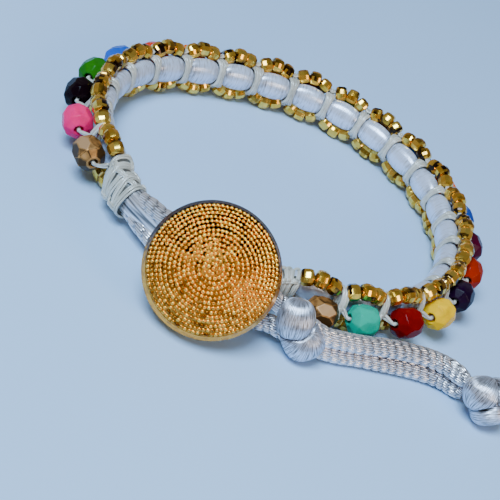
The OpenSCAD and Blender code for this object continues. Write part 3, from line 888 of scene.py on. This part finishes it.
class BRACELET_OT_threads(bpy.types.Operator):
    """Makes the knotting threads: the wraps between the cells and the threads of both bead rows"""

    bl_idname = "bracelet.threads"
    bl_label = "Knotting threads"

    def execute(self, context):
        sizes = context.scene.bracelet_sizes
        width = sizes.thread
        finish = thread_finish(tuple(context.scene.bracelet_colours.thread))
        wraps = Skin()
        for i in range(1, CELLS):
            for n in range(-2, 3):
                wraps.thread(
                    wrap_route(i + 0.14 * n / PITCH, 0.06 * (n % 2), random.uniform(-0.05, 0.05), 0.16 * n),
                    width, loop=True)
        wraps.make("cell_wraps", finish, "thread", "core_knots")

        rows = Skin()
        for side in (-1, 1):
            edge = 2.35 * side
            for i in range(1, CELLS):
                for spread in (-0.16, 0.16):
                    rows.thread([spot(i + along, out, edge + up * side) for along, out, up in (
                        (-0.17, 0.1, 0.1), (-0.08, spread, -0.12), (0, spread * 0.8 - 0.1, -0.3),
                        (0.08, spread, -0.12), (0.17, 0.1, 0.1))], width * 0.9)
        rows.make("edge_threads", finish, "thread")

        holes, half = Skin(), sizes.glass_length / 2
        reach = half + 0.15 * MM
        for i in range(CELLS):
            here, along = bead_place(i), band_axes(bead_u(i))[0]
            holes.thread([here - along * reach, here, here + along * reach], width * 1.2)
            if i < CELLS - 1:
                there, along_there = bead_place(i + 1), band_axes(bead_u(i + 1))[0]
                middle = (bead_u(i) + bead_u(i + 1)) / 2
                for shift in (-0.22, 0.2):
                    holes.thread(
                        [here + along * (reach - 0.5 * MM), here + along * reach,
                         spot(middle - 0.05, 1.4, 0.5 + shift), spot(middle + 0.05, 1.4, 0.5 + shift * 0.6),
                         there - along_there * reach, there - along_there * (reach - 0.5 * MM)],
                        width * 0.95)
                for place, out in ((-0.3, 0.95), (0.0, 1.1), (0.3, 0.95)):
                    u = middle + place / PITCH
                    holes.thread([spot(u, *at) for at in (
                        (-0.2, 2.35), (0.45, 2.1), (out, 1.4), (out + 0.25, 0.5), (out, -0.6), (0.5, -1.7),
                        (-0.2, -2.3))], width)
        here, along = bead_place(0), -band_axes(bead_u(0))[0]
        for shift in (-0.2, 0.2):
            end = spot(-0.05, 1.3, 1.2 + shift)
            holes.thread(
                [here + along * (half - 0.6 * MM), here + along * reach,
                 (here + along * (half + 0.5 * MM)).lerp(end, 0.4), end], width * 0.9)
        holes.make("bead_hole_threads", finish, "thread", "bead_thread")
        return {"FINISHED"}


class BRACELET_OT_seed_beads(bpy.types.Operator):
    """Makes the gold seed beads of both edges, in bowed groups of three"""

    bl_idname = "bracelet.seed_beads"
    bl_label = "Seed beads"

    def execute(self, context):
        sizes = context.scene.bracelet_sizes
        half, inner, sides = sizes.seed_width / 2, sizes.seed_hole / 2, 10
        begin(bpy.ops.mesh.primitive_cylinder_add, vertices=sides, radius=half, depth=sizes.seed_length)
        pick("faces", lambda face: abs(face.normal.z) > 0.9)
        bpy.ops.mesh.inset(thickness=(half - inner) * cos(pi / sides), use_individual=True)
        bpy.ops.mesh.bridge_edge_loops()
        pick("edges", lambda edge: all(
            hypot(vert.co.x, vert.co.y) > half * 0.95 for vert in edge.verts)
            and abs(edge.verts[0].co.z - edge.verts[1].co.z) < 1e-6)
        bpy.ops.mesh.bevel(offset=sizes.seed_length * 0.27, segments=2, profile=0.5)
        pattern = done("seed_bead", 32)
        finish = gold_finish(
            # The seeds' darkest colour is painted dark reflection on their facets.
            "seed_gold", tuple(context.scene.bracelet_colours.seed), "#2a1602", rough=0.09, scale=500,
            varied=0.6, coat=0.3, metallic=0.9)
        apart, fan, loose, dice = 1.58 / PITCH, 21, 4, random.Random(4)
        # Painted light: the lower row starts from a higher tone, so it shows lighter than the upper one.
        for name, side, tone, lift, node_name in (
                ("seed_beads_upper", 1, 0.1, 0.1, "upper_edge"), ("seed_beads_lower", -1, 0.3, 0, "lower_edge")):
            matrices, tones = [], []
            for i in range(CELLS):
                for n in (-1, 0, 1):
                    u = i + 0.5 + n * apart
                    along, out, up = band_axes(u)
                    rise = EDGE_GAP / 2 + lift - (sizes.seed_bow / MM if n else 0)
                    tilt = radians(-n * side * fan + dice.uniform(-loose, loose))
                    along = (along * cos(tilt) + up * sin(tilt)).normalized()
                    turned = dice.uniform(0, tau)
                    x = out * cos(turned) + along.cross(out).normalized() * sin(turned)
                    y = along.cross(x)
                    at = spot(u, dice.uniform(-0.05, 0.05), rise * side)
                    size = dice.uniform(0.96, 1.0)
                    matrices.append(axes_matrix(x * size, y * size, along * dice.uniform(0.96, 1.03), at))
                    tones.append(tone + 0.4 * dice.random())
            dressed(set_out(pattern, name, matrices, tones, 0.95), finish, "gold_beads", node_name)
        put_away(pattern)
        return {"FINISHED"}


def bead_u(i):
    """Place of a coloured bead along the band, in cells."""
    return i + 0.5 - (LAST_BEAD_BACK if i == CELLS - 1 else 0)


def bead_place(i):
    return spot(bead_u(i), BEADS_OUT + (LAST_BEAD_OUT if i == CELLS - 1 else 0), BEADS_UP)


class BRACELET_OT_glass_beads(bpy.types.Operator):
    """Makes the 22 faceted glass beads, each drilled along the band"""

    bl_idname = "bracelet.glass_beads"
    bl_label = "Coloured glass beads"

    def pattern(self, sizes):
        """One bead standing on its hole: five rows of facets, bored through and eased at its edges."""
        half, length = sizes.glass_width / 2, sizes.glass_length / 2
        rows = (
            (-1, 0.42, 0), (-0.66, 0.9, 0), (-0.2, 0.974, 22.5), (0.2, 0.974, 22.5), (0.66, 0.9, 0), (1, 0.42, 0))
        begin(
            bpy.ops.mesh.primitive_circle_add, vertices=8, radius=half * rows[0][1], fill_type="NGON",
            location=(0, 0, -length))
        bpy.ops.mesh.flip_normals()
        pick("faces", lambda face: True)
        for (z0, r0, turn0), (z1, r1, turn1) in zip(rows, rows[1:]):
            extrude((z1 - z0) * length)
            widen(r1 / r0, z1 * length)
            bpy.ops.transform.rotate(
                value=radians(turn1 - turn0), orient_axis="Z", center_override=(0, 0, z1 * length))
        pick("faces", lambda face: all(abs(vert.co.z) < 0.7 * length for vert in face.verts))
        bpy.ops.mesh.quads_convert_to_tris(quad_method="SHORTEST_DIAGONAL")
        bpy.ops.mesh.dissolve_limited(angle_limit=radians(1))
        pick("faces", lambda face: abs(face.normal.z) > 0.99)
        bpy.ops.mesh.inset(
            thickness=half * rows[0][1] * cos(pi / 8) - sizes.glass_hole / 2, use_individual=True)
        bpy.ops.mesh.bridge_edge_loops()
        bpy.ops.mesh.select_all(action="SELECT")
        bpy.ops.mesh.normals_make_consistent(inside=False)
        return bevel(done("glass_bead", 1), 0.12 * MM, segments=4, sharp=8, smooth=20)

    def execute(self, context):
        tints = context.scene.bracelet_colours
        pattern = self.pattern(context.scene.bracelet_sizes)
        soft = {"pink": 0.25, "turquoise": 0.12, "sun": 0.12, "yellow": 0.15, "ruby": 0.1, "garnet": 0.1}
        painted_light_way, least_facet, highlight_facing, last_turn = Vector((-0.35, -0.4, 0.85)), 4e-8, 0.97, 16
        dice, finishes = random.Random(9), {}
        for i, glass in enumerate(BEAD_ORDER):
            if glass not in finishes:
                metal = {"metallic": 0.55, "rough": 0.42, "facets": 0.9, "dark": 0.12, "gloss": 0.3}
                finishes[glass] = glass_finish(
                    glass + "_glass", tuple(getattr(tints, glass)), soft.get(glass, 0),
                    **(metal if glass == "bronze" else {}))
            at, (along, out, up) = bead_place(i), band_axes(bead_u(i))
            turned = dice.uniform(0, tau)
            x = out * cos(turned) + up * sin(turned)
            if glass == "bronze":
                x = EYE_AT * MM - at
                x = (x - along * x.dot(along)).normalized()
                x = Matrix.Rotation(radians(0 if i == 0 else last_turn), 3, along) @ x
            piece = set_out(
                pattern, f"glass_bead_{i + 1:02d}", [axes_matrix(x, along.cross(x), along, at)],
                [dice.random()])
            facets = []
            for face in piece.data.polygons:
                # Painted light and shade: facets that face up and to the left are lighter, with a random share; a
                # bronze bead's facet that faces the camera gets a painted highlight.
                value = 0.25 * dice.random() + 0.3 * max(face.normal.dot(painted_light_way), 0)
                bright = 0.6 if face.normal.dot(x) > highlight_facing else 0
                facets.append(value + bright if face.area > least_facet else 0.5)
            marked(piece.data, "facet", "FACE", facets)
            dressed(piece, finishes[glass], glass + "_bead", f"bead_{i + 1:02d}")
        put_away(pattern)
        return {"FINISHED"}


def knotted_sleeve(name, node_name, finish, start, end, height, depth, knots, slant, swing, spread=0.27):
    """Square knots tied round the core: bars of three threads that slant by turns, and a triple loop down each
    corner from one knot to the next. A dark sheet under them paints the shade in the gaps."""
    skin, width = Skin(), bpy.context.scene.bracelet_sizes.thread
    half_h, half_t = height / 2 - 0.35, depth / 2 - 0.3
    cell = (end - start) / knots
    shade_sheet_rings, shade_sheet_sides, painted_shade_tone = 13, 24, -1.6

    def skin_spot(u, angle, lift):
        return oval_spot(u, lookup(CORE_OUT, u) + 0.2, half_t + lift, half_h + lift, angle)

    # Painted shade: a dark sheet just inside the knots, seen through the gaps between threads.
    rings = []
    for k in range(shade_sheet_rings):
        u = start + (end - start) * (0.04 + 0.92 * k / (shade_sheet_rings - 1))
        rings.append((k * 0.4 * MM, [
            (skin_spot(u, -tau * j / shade_sheet_sides, -0.04), painted_shade_tone) for j in range(shade_sheet_sides)]))
    skin.add(rings)
    for k in range(knots):
        u = start + (k + 0.5) * cell
        across = slant + (swing if k % 2 else -swing)
        for n in (-1, 0, 1):
            route = []
            for p in range(24):
                a = tau * p / 24
                shift = n * spread + across * sin(a)
                route.append(skin_spot(u + shift / PITCH, a, 0 if n else 0.07))
            skin.thread(route, width * 0.72, loop=True, flat=0.9)
        for corner in (50, 130, -50, -130) if k < knots - 1 else ():
            b = radians(corner)
            low = u + across * sin(b) / PITCH
            for n in (-1, 0, 1):
                a, inwards = b + 0.14 * n, copysign(0.3, corner) * (1 if abs(corner) < 90 else -1)
                skin.thread([skin_spot(low + down * cell, a + turn * inwards, lift) for down, turn, lift in (
                    (-0.12, -1, -0.3), (0.1, 0, 0.12), (0.5, 0.1, 0.27 - 0.07 * abs(n)), (0.9, 0, 0.12),
                    (1.12, -1, -0.3))], width * 0.7)
    skin.make(name, finish, "thread", node_name)


class BRACELET_OT_sleeves(bpy.types.Operator):
    """Makes the two sleeves of square knots at the ends of the band"""

    bl_idname = "bracelet.sleeves"
    bl_label = "Knotted sleeves"

    def execute(self, context):
        finish = bpy.data.materials.get("waxed_thread") or thread_finish(
            tuple(context.scene.bracelet_colours.thread))
        knotted_sleeve(
            "knotted_sleeve_left", "left_sleeve", finish, MOUTH - 0.02, 0.02, height=4.8, depth=3.6, knots=6,
            slant=0.4, swing=0.24)
        knotted_sleeve(
            "knotted_sleeve_right", "right_sleeve", finish, CELLS - 0.16, CELLS + 0.75, height=3.9, depth=3.5,
            knots=7, slant=0.1, swing=0.1, spread=0.2)
        return {"FINISHED"}


class BRACELET_OT_button(bpy.types.Operator):
    """Makes the gold button: rounded rim, dome with rings of bumps, and shank"""

    bl_idname = "bracelet.button"
    bl_label = "Beaded button"

    def rim(self, half, foot, top):
        """The cup that holds the dome: a grooved front, a rounded back and a dished plate behind."""
        back, lip, groove = 0.55 * MM, 0.08 * MM, 0.2 * MM
        plate_edge, plate_step, dish_edge, dish_depth = 0.8 * MM, 0.25 * MM, 3.2 * MM, 0.1 * MM
        begin(bpy.ops.mesh.primitive_cylinder_add, vertices=96, radius=half, depth=top, location=(0, 0, top / 2))
        pick("faces", lambda face: face.normal.z > 0.9)
        widen(foot / half, top)
        bpy.ops.mesh.inset(thickness=lip)
        extrude(-groove)
        pick("faces", lambda face: face.normal.z < -0.9)
        reach, depth = half, 0
        for angle in (22.5, 45, 67.5, 90):
            next_reach = half - back * (1 - cos(radians(angle)))
            next_depth = back * sin(radians(angle))
            extrude(depth - next_depth)
            widen(next_reach / reach, -next_depth)
            reach, depth = next_reach, next_depth
        bpy.ops.mesh.inset(thickness=plate_edge)
        extrude(plate_step)
        bpy.ops.mesh.inset(thickness=dish_edge)
        bpy.ops.transform.translate(value=(0, 0, -dish_depth))
        return bevel(done("button_rim", 30), 0.07 * MM, segments=3, sharp=35, smooth=35)

    def shank(self):
        """The stem behind the plate and its oval eye."""
        begin(
            bpy.ops.mesh.primitive_cylinder_add, vertices=32, radius=1.0 * MM, depth=3.2 * MM,
            location=(0, 0, -2.0 * MM))
        pick("faces", lambda face: face.normal.z > 0.9)
        extrude(0.1 * MM)
        widen(1.25)
        stem = done("button_stem", 35)
        begin(
            bpy.ops.mesh.primitive_torus_add, major_radius=1.37 * MM, minor_radius=0.33 * MM,
            major_segments=48, minor_segments=16, location=(0, 0, -SHANK * MM), rotation=(0, pi / 2, 0))
        bpy.ops.transform.resize(value=(2.2, 1, 1), center_override=(0, 0, -SHANK * MM))
        return stem, done("button_eye")

    def bumps(self, rings, half, ball, ball_z, span):
        """Rings of small round bumps on the dome, each a little out of its place and size."""
        bump_half, bump_apart, sunk, stray_reach = 0.275 * MM, 0.475 * MM, 0.06 * MM, 0.09 * MM
        begin(bpy.ops.mesh.primitive_uv_sphere_add, segments=8, ring_count=6, radius=bump_half)
        bpy.ops.mesh.bisect(plane_co=(0, 0, -0.1 * bump_half), plane_no=(0, 0, 1), clear_inner=True)
        bump = done("button_bump")
        places, tones, dice = [], [], random.Random(21)
        for ring in range(rings):
            angle = span * ring / (rings - 0.45)
            count = max(round(tau * ball * sin(angle) / bump_apart), 1)
            start = dice.uniform(0, tau)
            for n in range(count):
                turn = start + tau * n / count
                across = Vector((-sin(turn), cos(turn), 0))
                normal = Vector((cos(turn), sin(turn), 0)) * sin(angle)
                normal.z = cos(angle)
                size = dice.uniform(0.88, 1.06)
                stray = (dice.uniform(-1, 1) * across + dice.uniform(-1, 1) * normal.cross(across)) * stray_reach
                at = Vector((0, 0, ball_z)) + normal * (ball - sunk) + stray * max(1 - ring / 8, 0.4)
                places.append(axes_matrix(across * size, normal.cross(across) * size, normal * size, at))
                # Painted light: bumps higher up the face get a higher tone and show paler.
                tones.append(0.75 * dice.random() + 0.35 * at.y / half)
        bumps = set_out(bump, "button_bumps", places, tones)
        put_away(bump)
        bumps.data.shade_smooth()
        return bumps

    def execute(self, context):
        sizes = context.scene.bracelet_sizes
        tint = tuple(context.scene.bracelet_colours.button)
        half, rise, top = sizes.button / 2, sizes.dome, 1.1 * MM
        foot = half - 0.45 * MM
        ball = (foot ** 2 + rise ** 2) / (2 * rise)
        ball_z = top + rise - ball

        begin(
            bpy.ops.mesh.primitive_uv_sphere_add, segments=96, ring_count=64, radius=ball,
            location=(0, 0, ball_z))
        bpy.ops.mesh.bisect(plane_co=(0, 0, top - 0.1 * MM), plane_no=(0, 0, 1), clear_inner=True, use_fill=True)
        dome = done("button_dome", 40)
        rim = self.rim(half, foot, top)
        stem, eye = self.shank()
        bumps = self.bumps(sizes.button_rings, half, ball, ball_z, asin(foot / ball))

        bright = gold_finish("button_gold", tint, "#7c420a", rough=0.05, scale=1500)
        plain = gold_finish("button_rim_gold", colour("#ffa00c"), "#4c2404", rough=0.2, scale=1500)
        # The ground between the bumps is darker gold, partly patina and partly painted shade; its near-black end
        # is painted shade where it faces up and back.
        dark = gold_finish("button_ground", colour("#c87c24"), "#0a0501", rough=0.3, scale=1200)
        for part, finish in ((dome, dark), (rim, plain), (stem, bright), (eye, bright), (bumps, bright)):
            part.data.materials.clear()
            part.data.materials.append(finish)
            part.data.transform(button_matrix())
        # Painted shade and dark reflection: the dome's ground and the rim get a lower tone where they face up and
        # back.
        painted_shade_way = Vector((-0.35, 0.45, 0.82))
        for part in (dome, rim):
            marked(part.data, "tone", "POINT", [
                min(max(0.2 - 1.2 * vert.normal.dot(painted_shade_way), -0.6), 0.3) for vert in part.data.vertices])
        deselect()
        for part in (dome, stem, eye, bumps, rim):
            part.select_set(True)
        context.view_layer.objects.active = rim
        bpy.ops.object.join()
        button = context.object
        button.name = button.data.name = "beaded_button"
        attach(button, "root")
        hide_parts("button")
        return {"FINISHED"}


def softbox(name, at, towards, width, height, power, tint):
    """An evenly lit rectangle that faces a point."""
    light = bpy.data.lights.new(name, "AREA")
    light.shape, light.size, light.size_y, light.energy, light.color = "RECTANGLE", width, height, power, tint
    way = (Vector(towards) - Vector(at)).to_track_quat("-Z", "Y")
    placed(name, light).matrix_world = Matrix.Translation(at) @ way.to_matrix().to_4x4()


class BRACELET_OT_stage(bpy.types.Operator):
    """Sets the plain pale floor and the soft studio light"""

    bl_idname = "bracelet.stage"
    bl_label = "Floor and light"

    def execute(self, context):
        tint = tuple(context.scene.bracelet_colours.floor)
        deselect()
        bpy.ops.mesh.primitive_plane_add(size=1.6, location=(0, 0.2, -0.02 * MM))
        floor = done("floor")
        material, tree, shader = new_finish("pale_floor", Roughness=0.42, Specular_IOR_Level=0.4)
        painted(tree, shader, even_noise(tree, 9, 2), ((0.3, shade(tint, 0.96)), (0.7, shade(tint, 1.03))))
        floor.data.materials.append(material)

        softbox(
            "window_light", (-0.14, -0.3, 0.54), (0, 0, 0), width=0.26, height=0.3, power=7.3,
            tint=(0.55, 0.77, 1))
        softbox(
            "warm_light", (0.42, -0.3, 0.26), (0, -0.02, 0), width=0.2, height=0.2, power=0.9,
            tint=(1, 0.84, 0.7))

        world = bpy.data.worlds.new("studio")
        world.use_nodes = True
        context.scene.world = world
        tree = world.node_tree
        sky = node(tree, "ShaderNodeTexCoord").outputs["Generated"]
        height = node(tree, "ShaderNodeSeparateXYZ", {"Vector": sky}).outputs["Z"]
        shades = ramp(tree, height, (
            (0.0, (0.42, 0.34, 0.27)), (0.3, (0.34, 0.29, 0.25)),
            (0.6, (0.2, 0.18, 0.17)), (0.95, (0.12, 0.13, 0.15))))
        tree.links.new(shades, tree.nodes["Background"].inputs["Color"])
        tree.nodes["Background"].inputs["Strength"].default_value = 0.8
        return {"FINISHED"}


OPERATORS = (
    BRACELET_OT_camera,
    BRACELET_OT_loop,
    BRACELET_OT_satin_cells,
    BRACELET_OT_threads,
    BRACELET_OT_seed_beads,
    BRACELET_OT_glass_beads,
    BRACELET_OT_sleeves,
    BRACELET_OT_button,
    BRACELET_OT_stage,
)


class BRACELET_PT_panel(bpy.types.Panel):
    """Lists the bracelet's sizes, colours and makers"""

    bl_idname = "BRACELET_PT_panel"
    bl_label = "Knotted Bracelet"
    bl_space_type = "VIEW_3D"
    bl_region_type = "UI"
    bl_category = "Bracelet"

    def draw(self, context):
        for group in (context.scene.bracelet_sizes, context.scene.bracelet_colours):
            box = self.layout.box()
            for key in group.__annotations__:
                box.prop(group, key)
        for operator in OPERATORS:
            self.layout.operator(operator.bl_idname)


CLASSES = (BraceletSizes, BraceletColours, *OPERATORS, BRACELET_PT_panel)


def register():
    for made in CLASSES:
        bpy.utils.register_class(made)
    bpy.types.Scene.bracelet_sizes = PointerProperty(type=BraceletSizes)
    bpy.types.Scene.bracelet_colours = PointerProperty(type=BraceletColours)


def unregister():
    del bpy.types.Scene.bracelet_colours
    del bpy.types.Scene.bracelet_sizes
    for made in reversed(CLASSES):
        bpy.utils.unregister_class(made)


def main():
    random.seed(7)
    register()
    for operator in OPERATORS:
        family, name = operator.bl_idname.split(".")
        getattr(getattr(bpy.ops, family), name)()


if __name__ == "__main__":
    main()
